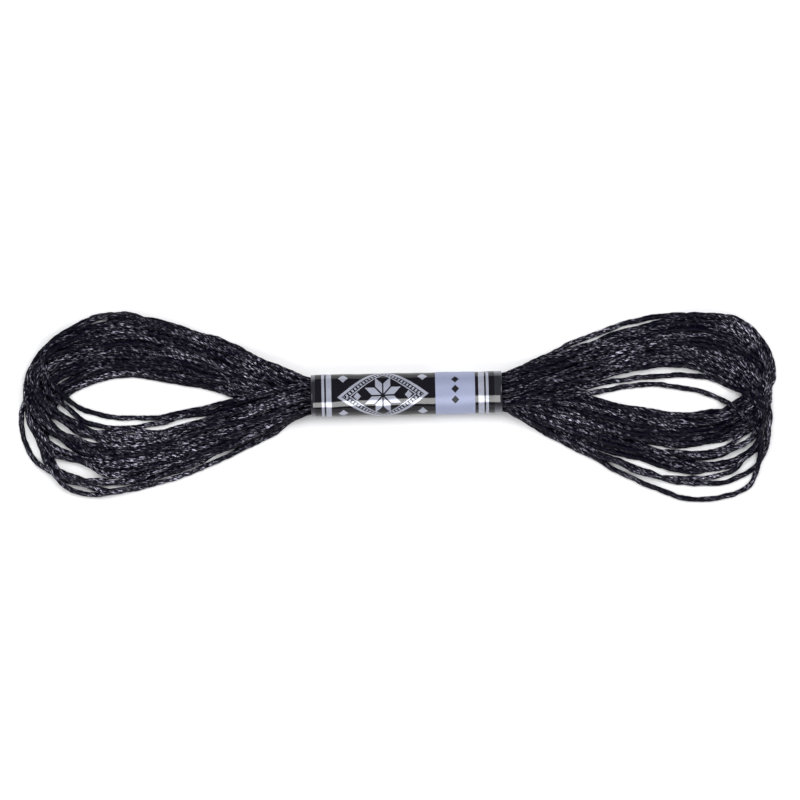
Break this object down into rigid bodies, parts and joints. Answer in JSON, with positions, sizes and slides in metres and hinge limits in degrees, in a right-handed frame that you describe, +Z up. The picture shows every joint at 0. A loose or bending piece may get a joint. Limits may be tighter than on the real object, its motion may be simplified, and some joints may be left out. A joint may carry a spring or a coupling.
{
  "type": "skein of embroidery floss",
  "caption": "Lying skein of dark metallic-sheen embroidery floss, its long loops spreading left and right from a narrow label band at the waist.",
  "frame": {"origin": "middle of the label band's flat underside, on the surface the skein lies on", "axes": "+X along the skein to the right as the picture shows it, +Y across it and away from the viewer, +Z up from the surface"},
  "size_m": [0.1521, 0.0401, 0.0068],
  "materials": {
    "floss": "near-black six-ply thread with fine silver glints",
    "label_film": "glossy black printed film with silver stripes"
  },
  "bodies": {
    "root": {"floss_skein": "floss", "label_band": "label_film"}
  },
  "joints": []
}
